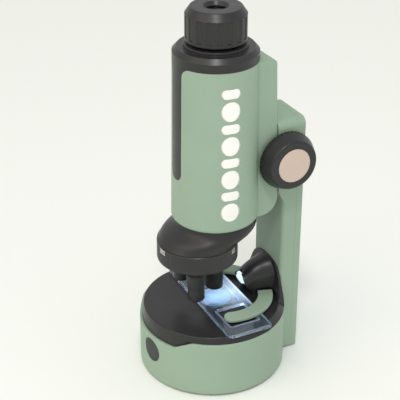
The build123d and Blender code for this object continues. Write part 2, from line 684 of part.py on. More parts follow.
with BuildPart() as arm_shell:
    add(arm_block.part)
    add(arm_hollow.part, mode=Mode.SUBTRACT)
    # screw bosses
    with BuildSketch(Plane.XZ.offset(-ARM_FRONT - 1)):
        with Locations(*ARM_SCREW_SPOTS):
            Circle(2.8)
    extrude(amount=-(ARM_SPLIT - ARM_FRONT - 1))
    with BuildSketch(Plane.XZ.offset(-ARM_SPLIT)):
        with Locations(*ARM_SCREW_SPOTS):
            Circle(0.95)
    extrude(amount=5.5, mode=Mode.SUBTRACT)
    split(bisect_by=Plane.XZ.offset(-ARM_SPLIT), keep=Keep.TOP)
    # slot for the pinion and rack, slots for the guide rails, bores for the bushes
    with BuildSketch(Plane.XZ.offset(-27)):
        with Locations((0, (HEAD_LOW + ARM_TOP) / 2)):
            Rectangle(10.4, ARM_TOP - HEAD_LOW - 2.4)
        with Locations((-RAIL_X, sum(RAIL_Z) / 2), (RAIL_X, sum(RAIL_Z) / 2)):
            Rectangle(RAIL_NECK + 0.04, RAIL_Z[1] - RAIL_Z[0] + 0.04)
    extrude(amount=-6.0, mode=Mode.SUBTRACT)
    with BuildSketch(Plane.YZ):
        with Locations((KNOB_Y, KNOB_Z)):
            Circle(BUSH_R)
    extrude(amount=ARM_X + 1, both=True, mode=Mode.SUBTRACT)
save(arm_shell, "arm_shell")

with BuildPart() as arm_back_cover:
    add(arm_block.part)
    split(bisect_by=Plane.XZ.offset(-ARM_SPLIT - 0.05), keep=Keep.BOTTOM)
    with BuildSketch(Plane.XZ.offset(-ARM_SPLIT)):
        with Locations((0, (ARM_TOP + BASE_LOW) / 2)):
            Rectangle(2 * (ARM_X - WALL), ARM_TOP - BASE_LOW - 2 * WALL)
    extrude(amount=-(ARM_BACK - ARM_SPLIT - WALL), mode=Mode.SUBTRACT)
    with BuildSketch(Plane.XZ.offset(-ARM_SPLIT - 0.05)):
        with Locations(*ARM_SCREW_SPOTS):
            Circle(3.4)
    extrude(amount=-(ARM_BACK - ARM_SPLIT - 1.0))
    with BuildSketch(Plane.XZ.offset(-ARM_BACK - 1)):
        with Locations(*ARM_SCREW_SPOTS):
            Circle(2.5)
    extrude(amount=3.0, mode=Mode.SUBTRACT)
    with BuildSketch(Plane.XZ.offset(-ARM_BACK - 1)):
        with Locations(*ARM_SCREW_SPOTS):
            Circle(1.2)
    extrude(amount=12, mode=Mode.SUBTRACT)
save(arm_back_cover, "arm_back_cover")

arm_screws = screw_group(
    [Plane((x, ARM_BACK - 1.95, z), z_dir=(0, 1, 0)) for x, z in ARM_SCREW_SPOTS], 2.2, 1.0, 0.9, 6.5)
save(arm_screws, "arm_screws")

# ---- focus drive: shaft, bushes, pinion, knobs ---------------------------------------------
knob_axis = Axis((0, KNOB_Y, KNOB_Z), (1, 0, 0))
knob_profile_plane = Plane((0, KNOB_Y, KNOB_Z), x_dir=(1, 0, 0), z_dir=(0, -1, 0))
SHAFT_HALF = KNOB_OUT - 2.5

with BuildPart() as focus_shaft:
    with BuildSketch(Plane((-SHAFT_HALF, KNOB_Y, KNOB_Z), z_dir=(1, 0, 0))):
        Circle(SHAFT_R)
    extrude(amount=2 * SHAFT_HALF)
    chamfer(focus_shaft.edges().filter_by(GeomType.CIRCLE), 0.3)
save(focus_shaft, "focus_shaft")

with BuildPart() as shaft_bushes:
    for side in (-1, 1):
        with BuildSketch(Plane((side * (ARM_X - WALL - 0.4), KNOB_Y, KNOB_Z), z_dir=(side, 0, 0))):
            Circle(BUSH_R - 0.02)
            Circle(SHAFT_R + FIT, mode=Mode.SUBTRACT)
        extrude(amount=WALL + 0.4)
save(shaft_bushes, "shaft_bushes")

with BuildPart() as thrust_washers:
    for side in (-1, 1):
        with BuildSketch(Plane((side * (ARM_X + 0.08), KNOB_Y, KNOB_Z), z_dir=(side, 0, 0))):
            Circle(4.4)
            Circle(SHAFT_R + 0.02, mode=Mode.SUBTRACT)
        extrude(amount=KNOB_IN - ARM_X - 0.1)
save(thrust_washers, "thrust_washers")


def involute(angle):
    return math.tan(angle) - angle


PRESSURE = math.radians(20)
ADDENDUM = 0.55 * GEAR_MODULE
DEDENDUM = 1.1 * GEAR_MODULE
base_radius = GEAR_R * math.cos(PRESSURE)


def tooth_half_angle(radius):
    """Half the angle that a pinion tooth fills at a radius."""
    at_pitch = math.pi / 2 / GEAR_TEETH - BACKLASH / 4 / GEAR_R
    lean = math.acos(min(1.0, base_radius / max(radius, base_radius)))
    return at_pitch + involute(PRESSURE) - involute(lean)


with BuildSketch() as pinion_tooth:
    with BuildLine():
        radii = (GEAR_R - DEDENDUM - 0.2, base_radius, GEAR_R, GEAR_R + ADDENDUM)
        flank = [(r * math.cos(tooth_half_angle(r)), r * math.sin(tooth_half_angle(r))) for r in radii]
        Polyline(*flank, *[(x, -y) for x, y in reversed(flank)], close=True)
    make_face()

with BuildPart() as pinion:
    gear_plane = Plane((-4, KNOB_Y, KNOB_Z), x_dir=(0, -1, 0), z_dir=(1, 0, 0))
    with BuildSketch(gear_plane):
        Circle(GEAR_R - DEDENDUM)
        with PolarLocations(0, GEAR_TEETH, start_angle=180 / GEAR_TEETH):
            add(pinion_tooth.sketch)
        Circle(SHAFT_R + 0.02, mode=Mode.SUBTRACT)
    extrude(amount=8)
save(pinion, "pinion")

with BuildPart() as knob_right:
    with BuildSketch(knob_profile_plane):
        with BuildLine():
            Polyline(
                (KNOB_IN, SHAFT_R + 0.02),
                (KNOB_IN, 5.0),
                (KNOB_IN + 1.6, 5.0),
                (KNOB_IN + 1.6, KNOB_R_IN - 2.0),
                (KNOB_IN, KNOB_R_IN - 2.0),
                (KNOB_IN, KNOB_R_IN),
                (KNOB_IN + 2.4, KNOB_R_IN - 0.1),
                (KNOB_OUT, KNOB_R_OUT),
                (KNOB_OUT, CAP_R + 0.1),
                (KNOB_OUT - 1.2, CAP_R + 0.1),
                (KNOB_OUT - 1.2, SHAFT_R + 0.02),
                close=True,
            )
        make_face()
    revolve(axis=knob_axis)
    front_rim = knob_right.edges().filter_by(GeomType.CIRCLE).group_by(Axis.X)[-1].sort_by(SortBy.RADIUS)[-1]
    fillet(front_rim, 1.5)
    back_rim = knob_right.edges().filter_by(GeomType.CIRCLE).group_by(Axis.X)[0].sort_by(SortBy.RADIUS)[-1]
    fillet(back_rim, 0.6)
    # fine grip grooves that fade out along the taper
    with BuildSketch(Plane((KNOB_IN - 1, KNOB_Y, KNOB_Z), z_dir=(1, 0, 0))):
        with PolarLocations(KNOB_R_IN + 0.15, 48):
            Circle(0.55)
    extrude(amount=KNOB_OUT - KNOB_IN, mode=Mode.SUBTRACT)
save(knob_right, "knob_right")

with BuildPart() as knob_left:
    mirror(knob_right.part, about=Plane.YZ)
save(knob_left, "knob_left")

with BuildPart() as knob_caps:
    for side in (-1, 1):
        with BuildSketch(Plane((side * (KNOB_OUT - 1.15), KNOB_Y, KNOB_Z), z_dir=(side, 0, 0))):
            Circle(CAP_R)
        extrude(amount=1.25)
    outer_rims = knob_caps.edges().filter_by(GeomType.CIRCLE).filter_by(lambda e: abs(e.center().X) > KNOB_OUT)
    fillet(outer_rims, 0.35)
save(knob_caps, "knob_caps")

# ---- carriage: barrel, block, plate, rack and rails --------------------------------------------
RACK_HALF = 4.5
RACK_Z = (KNOB_Z - 15.0, KNOB_Z + 11.0)
RACK_BACK = 27.55
PITCH_LINE = KNOB_Y - GEAR_R
PLATE_SCREW_SPOTS = [(x, z) for z in (PLATE_TOP - 24.0, PLATE_TOP - 6.0) for x in (-8.4, 8.4)]
PLATE_SCREW_HEAD = 1.0


def stripe_outline(grow=0.0):
    """Front view of the stripe: round at its foot, flaring into the collar."""
    with BuildSketch(Plane.XZ) as outline:
        with BuildLine():
            Polyline(
                (-STRIPE_X - grow, STRIPE_LOW - grow),
                (STRIPE_X + grow, STRIPE_LOW - grow),
                (STRIPE_X + grow, BARREL_TOP - BAND_H - grow),
                (BARREL_R_TOP + 2, BARREL_TOP - BAND_H - grow),
                (BARREL_R_TOP + 2, BARREL_TOP + 1),
                (-BARREL_R_TOP - 2, BARREL_TOP + 1),
                (-BARREL_R_TOP - 2, BARREL_TOP - BAND_H - grow),
                (-STRIPE_X - grow, BARREL_TOP - BAND_H - grow),
                close=True,
            )
        make_face()
        foot = outline.vertices().group_by(Axis.Y)[0]
        fillet(foot, STRIPE_X - 0.4)
        inner = outline.vertices().filter_by(
            lambda v: abs(abs(v.X) - STRIPE_X - grow) < 0.01 and v.Y > BARREL_TOP - 5)
        fillet(inner, 5.0)
    return outline.sketch


def stripe_zone(grow=0.0):
    """The space in front of the stripe's outline and all round beside the collar's band."""
    with BuildPart() as zone:
        extrude(stripe_outline(grow), amount=BARREL_R_LOW + 4)
        with BuildSketch(Plane.XY.offset(BARREL_TOP - BAND_H - grow)):
            Circle(BARREL_R_LOW + 2)
        extrude(amount=BAND_H + 1 + grow)
    return zone.part


with BuildPart() as block:
    for z, rear in ((BLOCK_LOW, BLOCK_Y_LOW), (BLOCK_TOP, BLOCK_Y_TOP)):
        with BuildSketch(Plane.XY.offset(z)):
            Rectangle(2 * BLOCK_X, rear, align=(Align.CENTER, Align.MIN))
    loft(ruled=True)
    low_edge = block.edges().filter_by(Axis.X).group_by(Axis.Y)[-1].sort_by(Axis.Z)[0]
    fillet(low_edge, 9.5)
    top_edge = block.edges().filter_by(Axis.X).group_by(Axis.Z)[-1].sort_by(Axis.Y)[-1]
    fillet(top_edge, 2.2)

# the groove follows the barrel's cone, one stripe thickness deep
STRIPE_T = 1.2
with BuildPart() as groove:
    add(stripe_zone(0.05))
    with BuildSketch(Plane.XZ):
        with BuildLine():
            Polyline((0, BARREL_LOW), (BARREL_R_LOW - STRIPE_T - 0.05, BARREL_LOW),
                     (BARREL_R_TOP - STRIPE_T - 0.05, BARREL_TOP + 2), (0, BARREL_TOP + 2), close=True)
        make_face()
    revolve(axis=Axis.Z, mode=Mode.SUBTRACT)

with BuildPart() as barrel_shell:
    with BuildSketch(Plane.XZ):
        with BuildLine():
            Polyline((0, BARREL_LOW), (BARREL_R_LOW, BARREL_LOW), (BARREL_R_TOP, BARREL_TOP),
                     (0, BARREL_TOP), close=True)
        make_face()
    revolve(axis=Axis.Z)
    fillet(barrel_shell.edges().group_by(Axis.Z)[0], 1.8)
    add(block.part)
    # bore of the barrel
    with BuildSketch(Plane.XZ):
        with BuildLine():
            Polyline((0, BARREL_LOW - 2), (BARREL_R_LOW - WALL, BARREL_LOW - 2),
                     (BARREL_R_TOP - WALL, BARREL_TOP + 1), (0, BARREL_TOP + 1), close=True)
        make_face()
    revolve(axis=Axis.Z, mode=Mode.SUBTRACT)
    # cavity behind the barrel, closed by the plate
    with BuildSketch(Plane.XZ.offset(-23.6)):
        with Locations((0, (PLATE_LOW + PLATE_TOP) / 2)):
            Rectangle(2 * PLATE_X + 0.1, PLATE_TOP - PLATE_LOW + 0.1)
    extrude(amount=-12, mode=Mode.SUBTRACT)
    for x, z in PLATE_SCREW_SPOTS:
        with BuildSketch(Plane((x, 22, z), z_dir=(0, 1, 0))):
            Circle(2.4)
        extrude(amount=block_rear(z) - WALL - 22.15)
        with BuildSketch(Plane((x, 21.5, z), z_dir=(0, 1, 0))):
            Circle(0.95)
        extrude(amount=6, mode=Mode.SUBTRACT)
    add(groove.part, mode=Mode.SUBTRACT)
save(barrel_shell, "barrel_shell")

with BuildPart() as carriage_plate:
    with BuildSketch(Plane.YZ):
        with BuildLine():
            Polyline((block_rear(PLATE_LOW) - WALL, PLATE_LOW), (block_rear(PLATE_LOW), PLATE_LOW),
                     (block_rear(PLATE_TOP), PLATE_TOP), (block_rear(PLATE_TOP) - WALL, PLATE_TOP),
                     close=True)
        make_face()
    extrude(amount=PLATE_X, both=True)
    with BuildSketch(Plane.XZ.offset(-RACK_BACK + 0.05)):
        with Locations((0, sum(RACK_Z) / 2)):
            Rectangle(2 * RACK_HALF + 0.1, RACK_Z[1] - RACK_Z[0] + 0.1)
    extrude(amount=-5, mode=Mode.SUBTRACT)
    slot_top = RAIL_Z[1] + 4.5
    with BuildSketch(Plane.XZ.offset(-20)):
        with Locations((-RAIL_X, (PLATE_LOW + slot_top) / 2 - 0.5), (RAIL_X, (PLATE_LOW + slot_top) / 2 - 0.5)):
            Rectangle(RAIL_NECK + 0.3, slot_top - PLATE_LOW + 1)
    extrude(amount=-15, mode=Mode.SUBTRACT)
    for x, z in PLATE_SCREW_SPOTS:
        with BuildSketch(Plane((x, block_rear(z) - PLATE_SCREW_HEAD - 0.1, z), z_dir=(0, 1, 0))):
            Circle(2.2)
        extrude(amount=3, mode=Mode.SUBTRACT)
        with BuildSketch(Plane((x, 20, z), z_dir=(0, 1, 0))):
            Circle(1.1)
        extrude(amount=12, mode=Mode.SUBTRACT)
save(carriage_plate, "carriage_plate")

plate_screws = screw_group(
    [Plane((x, block_rear(z) - PLATE_SCREW_HEAD - 0.05, z), z_dir=(0, 1, 0)) for x, z in PLATE_SCREW_SPOTS],
    2.0, 0.9, 0.9, 4.5)
save(plate_screws, "plate_screws")

with BuildPart() as focus_rack:
    root = PITCH_LINE - DEDENDUM
    with BuildSketch(Plane.YZ):
        with Locations(((RACK_BACK + root) / 2, sum(RACK_Z) / 2)):
            Rectangle(root - RACK_BACK, RACK_Z[1] - RACK_Z[0])
        pitch = math.pi * GEAR_MODULE
        half = pitch / 4 - BACKLASH / 4
        slope = math.tan(PRESSURE)
        teeth_below = int((KNOB_Z - RACK_Z[0] - half) / pitch)
        teeth_above = int((RACK_Z[1] - KNOB_Z - half) / pitch)
        for index in range(-teeth_below, teeth_above + 1):
            with BuildLine():
                middle_z = KNOB_Z + index * pitch
                Polyline(
                    (root - 0.1, middle_z - half - slope * DEDENDUM),
                    (root, middle_z - half - slope * DEDENDUM),
                    (PITCH_LINE + ADDENDUM, middle_z - half + slope * ADDENDUM),
                    (PITCH_LINE + ADDENDUM, middle_z + half - slope * ADDENDUM),
                    (root, middle_z + half + slope * DEDENDUM),
                    (root - 0.1, middle_z + half + slope * DEDENDUM),
                    close=True,
                )
            make_face()
    extrude(amount=RACK_HALF, both=True)
save(focus_rack, "focus_rack")

with BuildPart() as guide_rails:
    for x in (-RAIL_X, RAIL_X):
        with BuildSketch(Plane.YZ.offset(x)):
            with Locations(((24.6 + 31.0) / 2, sum(RAIL_Z) / 2)):
                Rectangle(31.0 - 24.6, RAIL_Z[1] - RAIL_Z[0])
            for low, high in RAIL_LUGS:
                with Locations((31.5, (low + high) / 2)):
                    Rectangle(3.0, high - low)
        extrude(amount=RAIL_NECK / 2, both=True)
        with BuildSketch(Plane.YZ.offset(x)):
            with Locations((25.3, sum(RAIL_Z) / 2)):
                Rectangle(1.4, RAIL_Z[1] - RAIL_Z[0])
            for low, high in RAIL_LUGS:
                with Locations((32.4, (low + high) / 2)):
                    Rectangle(1.2, high - low)
        extrude(amount=RAIL_FLANGE / 2, both=True)
save(guide_rails, "guide_rails")

# ---- collar, eyepiece and optics ---------------------------------------------------------------
TUBE_R = 11.4               # eyepiece tube
TUBE_LOW = BARREL_LOW + 7.2     # the optical tube stands on the nosepiece's plug
TUBE_JOINT = BARREL_TOP - 8.6   # where the eyepiece tube meets the optical tube

with BuildPart() as top_collar:
    # the stripe is a strip of the barrel's own cone
    with BuildSketch(Plane.XZ):
        with BuildLine():
            Polyline(
                (barrel_radius(STRIPE_LOW - 1) - STRIPE_T, STRIPE_LOW - 1),
                (barrel_radius(STRIPE_LOW - 1), STRIPE_LOW - 1),
                (BARREL_R_TOP, BARREL_TOP + 0.05),
                (BARREL_R_TOP - STRIPE_T, BARREL_TOP + 0.05),
                close=True,
            )
        make_face()
    revolve(axis=Axis.Z)
    add(stripe_zone(), mode=Mode.INTERSECT)
    with BuildSketch(Plane.XZ):
        with BuildLine():
            Polyline(
                (TUBE_R + 0.05, BARREL_TOP - 4),
                (BARREL_R_TOP - WALL - 0.2, BARREL_TOP - 4),
                (BARREL_R_TOP - WALL - 0.2, BARREL_TOP + 0.05),
                (BARREL_R_TOP, BARREL_TOP + 0.05),
                (BARREL_R_TOP, BARREL_TOP + 3.0),
                (BARREL_R_TOP - 2.2, COLLAR_TOP),
                (EYE_R + 0.9, COLLAR_TOP),
                (EYE_R + 0.9, COLLAR_TOP + 1.6),
                (TUBE_R + 0.05, COLLAR_TOP + 1.6),
                close=True,
            )
        make_face()
    revolve(axis=Axis.Z)
    spigot_rim = top_collar.edges().group_by(Axis.Z)[-1].sort_by(SortBy.RADIUS)[-1]
    fillet(spigot_rim, 0.5)
save(top_collar, "top_collar")

with BuildPart() as optical_tube:
    with BuildSketch(Plane.XY.offset(TUBE_LOW + 0.1)):
        Circle(TUBE_R + 1.0)
        Circle(TUBE_R - 0.4, mode=Mode.SUBTRACT)
    extrude(amount=TUBE_JOINT - TUBE_LOW - 0.15)
save(optical_tube, "optical_tube")

with BuildPart() as light_baffle:
    with BuildSketch(Plane.XY.offset(TUBE_LOW + 30)):
        Circle(TUBE_R - 0.45)
        Circle(6.0, mode=Mode.SUBTRACT)
    extrude(amount=1.2)
save(light_baffle, "light_baffle")


def lens_profile(radius, low, rim, crown):
    """Half section of a flat-backed lens whose front is part of a sphere about the axis."""
    sag = crown - rim
    sphere = (radius ** 2 + sag ** 2) / (2 * sag)
    half_turn = math.asin(radius / sphere) / 2
    middle = (sphere * math.sin(half_turn), crown - sphere + sphere * math.cos(half_turn))
    with BuildSketch(Plane.XZ) as profile:
        with BuildLine():
            Polyline((0, crown), (0, low), (radius, low), (radius, rim))
            ThreePointArc((radius, rim), middle, (0, crown))
        make_face()
    return profile.sketch


with BuildPart() as field_lens:
    revolve(lens_profile(TUBE_R - 0.45, TUBE_JOINT - 12.0, TUBE_JOINT - 10.6, TUBE_JOINT - 8.6), axis=Axis.Z)
save(field_lens, "field_lens")

with BuildPart() as eyepiece_tube:
    with BuildSketch(Plane.XY.offset(TUBE_JOINT + 0.05)):
        Circle(TUBE_R)
        Circle(TUBE_R - 1.4, mode=Mode.SUBTRACT)
    extrude(amount=EYE_TOP - 6.8 - TUBE_JOINT)
save(eyepiece_tube, "eyepiece_tube")

LENS_R = 6.5
with BuildPart() as eyepiece_ring:
    with BuildSketch(Plane.XZ):
        with BuildLine():
            Polyline(
                (TUBE_R + FIT, EYE_LOW),
                (EYE_R - 0.5, EYE_LOW),
                (EYE_R, EYE_LOW + 0.5),
                (EYE_R, EYE_SIDE),
                (13.0, EYE_TOP),
                (6.6, EYE_TOP),
                (5.1, EYE_TOP - 1.8),
                (5.1, EYE_TOP - 2.3),
                (LENS_R + 0.05, EYE_TOP - 2.3),
                (LENS_R + 0.05, EYE_TOP - 4.8),
                (TUBE_R + FIT, EYE_TOP - 4.8),
                close=True,
            )
        make_face()
    revolve(axis=Axis.Z)
    crown_edge = eyepiece_ring.edges().filter_by(GeomType.CIRCLE).group_by(Axis.Z)[-1].sort_by(SortBy.RADIUS)[-1]
    fillet(crown_edge, 0.9)
    # wide shallow flutes
    with BuildSketch(Plane.XY.offset(EYE_LOW + 1.8)):
        with PolarLocations(EYE_R + 1.9, EYE_FLUTES):
            Circle(2.6)
    extrude(amount=EYE_SIDE - EYE_LOW - 2.0, mode=Mode.SUBTRACT)
save(eyepiece_ring, "eyepiece_ring")

with BuildPart() as eye_lens:
    revolve(lens_profile(LENS_R, EYE_TOP - 4.7, EYE_TOP - 3.6, EYE_TOP - 2.35), axis=Axis.Z)
save(eye_lens, "eye_lens")

with BuildPart() as lens_retainer:
    with BuildSketch(Plane.XY.offset(EYE_TOP - 6.1)):
        Circle(TUBE_R + FIT - 0.02)
        Circle(5.4, mode=Mode.SUBTRACT)
    extrude(amount=1.25)
save(lens_retainer, "lens_retainer")

# ---- nosepiece, turret and objectives -----------------------------------------------------------
NOSE_SECTIONS = (           # height, centre Y, radius
    (TURRET_TOP + 0.2, TURRET_Y, TURRET_R - 0.1),
    (TURRET_TOP + 1.8, -8.6, 22.0),
    (TURRET_TOP + 4.8, -4.7, 22.9),
    (TURRET_TOP + 8.0, -0.4, 22.5),
    (BARREL_LOW - 0.1, 0.0, BARREL_R_LOW - 1.9),
)
NOSE_BORE = 6.0
PIVOT_R = 2.5

with BuildPart() as nosepiece_housing:
    for height, centre, radius in NOSE_SECTIONS:
        with BuildSketch(Plane.XY.offset(height)):
            with Locations((0, centre)):
                Circle(radius)
    loft()
    with BuildSketch(Plane.XY.offset(BARREL_LOW - 0.2)):
        Circle(BARREL_R_LOW - WALL - 0.25)
    extrude(amount=TUBE_LOW - BARREL_LOW + 0.2)
    with BuildSketch(Plane.XY.offset(TURRET_TOP)):
        Circle(NOSE_BORE)
    extrude(amount=30, mode=Mode.SUBTRACT)
    with BuildSketch(Plane.XY.offset(TURRET_TOP)):
        with Locations((0, TURRET_Y)):
            Circle(PIVOT_R - 0.02)
    extrude(amount=8.2, mode=Mode.SUBTRACT)
    with BuildSketch(Plane.XY.offset(TURRET_TOP)):
        with Locations((6.5, TURRET_Y)):
            Circle(1.3)
    extrude(amount=6.0, mode=Mode.SUBTRACT)
save(nosepiece_housing, "nosepiece_housing")

turret_centre = Plane((0, TURRET_Y, 0))
FLOOR_T = 3.2
OBJECTIVE_R = -TURRET_Y      # distance of each objective from the turret's axis
THREAD_R = 5.6
with BuildPart() as turret_ring:
    with BuildSketch(turret_centre.offset(TURRET_LOW)):
        Circle(TURRET_R)
    extrude(amount=TURRET_TOP - TURRET_LOW)
    chamfer(turret_ring.edges().group_by(Axis.Z)[-1], 0.7)
    fillet(turret_ring.edges().group_by(Axis.Z)[0], 1.2)
    with BuildSketch(turret_centre.offset(TURRET_LOW + FLOOR_T)):
        Circle(TURRET_R - WALL)
        Circle(8.2, mode=Mode.SUBTRACT)
    extrude(amount=20, mode=Mode.SUBTRACT)
    # light paths through the hub's flank, then the objective threads in the floor
    with BuildSketch(turret_centre.offset(TURRET_LOW - 1)):
        with PolarLocations(OBJECTIVE_R, 3, start_angle=90):
            Circle(THREAD_R)
        Circle(PIVOT_R + FIT)
    extrude(amount=20, mode=Mode.SUBTRACT)
    # patches of fine grip ribs between the numbers
    with BuildSketch(turret_centre.offset(TURRET_LOW + 1.6)):
        for middle_angle in (30, 150, 270):
            for step in range(-6, 7):
                turn = math.radians(middle_angle + 3.4 * step)
                with Locations(((TURRET_R + 0.35) * math.cos(turn), (TURRET_R + 0.35) * math.sin(turn))):
                    Circle(0.55)
    extrude(amount=TURRET_TOP - TURRET_LOW - 3.0, mode=Mode.SUBTRACT)
save(turret_ring, "turret_ring")

with BuildPart() as turret_pivot:
    with BuildSketch(turret_centre.offset(TURRET_LOW - 0.1)):
        Circle(PIVOT_R)
    extrude(amount=TURRET_TOP + 8.0 - TURRET_LOW)
    with BuildSketch(turret_centre.offset(TURRET_LOW - 1.5)):
        Circle(3.6)
    extrude(amount=1.4)
    with BuildSketch(turret_centre.offset(TURRET_LOW - 1.5)):
        Rectangle(5.4, 1.1)
    extrude(amount=0.7, mode=Mode.SUBTRACT)
    with BuildSketch(turret_centre.offset(TURRET_TOP + 0.1)):
        Circle(PIVOT_R + 1)
        Circle(PIVOT_R - 0.04, mode=Mode.SUBTRACT)
    extrude(amount=10, mode=Mode.SUBTRACT)
save(turret_pivot, "turret_pivot")

with BuildPart() as detent_ball:
    with Locations((6.5, TURRET_Y, TURRET_TOP + 1.27)):
        Sphere(1.2)
save(detent_ball, "detent_ball")

with BuildPart() as detent_spring:
    with BuildLine():
        detent_coil = Helix(pitch=0.7, height=2.8, radius=0.9, center=(6.5, TURRET_Y, TURRET_TOP + 2.9))
    with BuildSketch(Plane(detent_coil @ 0, z_dir=detent_coil % 0)):
        Circle(0.16)
    sweep(path=detent_coil)
save(detent_spring, "detent_spring")

OBJECTIVE_SPOTS = [(OBJECTIVE_R * math.cos(math.radians(a)), TURRET_Y + OBJECTIVE_R * math.sin(math.radians(a)))
                   for a in (90, 330, 210)]
OBJECTIVE_NAMES = ("objective_high", "objective_middle", "objective_low")
FRONT_LENS_R = 2.6

for name, (x, y), tip in zip(OBJECTIVE_NAMES, OBJECTIVE_SPOTS, OBJECTIVE_TIPS):
    body_r = 4.84 if tip == min(OBJECTIVE_TIPS) else 4.6
    with BuildPart() as objective:
        with BuildSketch(Plane.XZ.offset(-y)):
            with BuildLine():
                Polyline(
                    (x + 2.6, TURRET_LOW + FLOOR_T),
                    (x + THREAD_R - 0.03, TURRET_LOW + FLOOR_T),
                    (x + THREAD_R - 0.03, TURRET_LOW - 0.05),
                    (x + 6.6, TURRET_LOW - 0.05),
                    (x + 6.6, TURRET_LOW - 2.6),
                    (x + body_r + 0.9, TURRET_LOW - 5.0),
                    (x + body_r, tip + 7.0),
                    (x + body_r, tip + 0.8),
                    (x + body_r - 0.8, tip),
                    (x + FRONT_LENS_R + 0.7, tip),
                    (x + FRONT_LENS_R + 0.03, tip + 0.7),
                    (x + FRONT_LENS_R + 0.03, tip + 3.0),
                    (x + 2.0, tip + 3.0),
                    (x + 2.0, TURRET_LOW),
                    close=True,
                )
            make_face()
        revolve(axis=Axis((x, y, 0), (0, 0, 1)))
    save(objective, name)

with BuildPart() as objective_lenses:
    for (x, y), tip in zip(OBJECTIVE_SPOTS, OBJECTIVE_TIPS):
        with BuildSketch(Plane.XY.offset(tip + 1.2)):
            with Locations((x, y)):
                Circle(FRONT_LENS_R)
        extrude(amount=1.7)
save(objective_lenses, "objective_lenses")
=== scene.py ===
import json
import math

import bmesh
import bpy
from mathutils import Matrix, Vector


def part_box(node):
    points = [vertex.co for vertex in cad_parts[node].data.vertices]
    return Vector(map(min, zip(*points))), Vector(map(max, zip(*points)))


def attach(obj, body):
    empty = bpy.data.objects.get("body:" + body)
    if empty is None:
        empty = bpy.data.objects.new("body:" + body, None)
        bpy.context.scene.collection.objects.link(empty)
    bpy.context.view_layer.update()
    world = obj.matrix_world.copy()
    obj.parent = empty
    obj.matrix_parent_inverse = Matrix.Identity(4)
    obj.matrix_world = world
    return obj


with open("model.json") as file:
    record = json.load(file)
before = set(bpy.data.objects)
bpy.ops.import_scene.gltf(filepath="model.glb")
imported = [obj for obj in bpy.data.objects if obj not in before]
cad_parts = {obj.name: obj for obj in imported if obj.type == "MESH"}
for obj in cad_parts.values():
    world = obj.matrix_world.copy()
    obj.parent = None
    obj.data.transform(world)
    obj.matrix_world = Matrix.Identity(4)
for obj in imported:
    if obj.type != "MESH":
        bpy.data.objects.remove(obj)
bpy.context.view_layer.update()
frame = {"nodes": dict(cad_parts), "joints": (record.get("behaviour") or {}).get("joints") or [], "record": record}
nodes = frame["nodes"]
joints = {joint["name"]: joint for joint in frame["joints"]}

MM = 0.001


# ---- places worked out from the frame --------------------------------------------
def middle_of(node_name):
    low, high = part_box(node_name)
    return (low + high) / 2


def axis_of(joint_name):
    """Where an upright joint's axis stands, as x and y."""
    return Vector(joints[joint_name]["pos_m"]).xy


barrel_low, barrel_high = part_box("barrel_shell")
BARREL_AXIS = axis_of("eyepiece_turn")
turret_low, turret_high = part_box("turret_ring")
TURRET_AXIS = axis_of("turret_turn")
TURRET_R = (turret_high.x - turret_low.x) / 2
window_low, window_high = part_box("stage_window")
WINDOW_R = (window_high.x - window_low.x) / 2
WINDOW_CENTRE = middle_of("stage_window")
LAMP_MOUTH = middle_of("lamp_lens")
GLASS_CENTRE = middle_of("cover_glass")


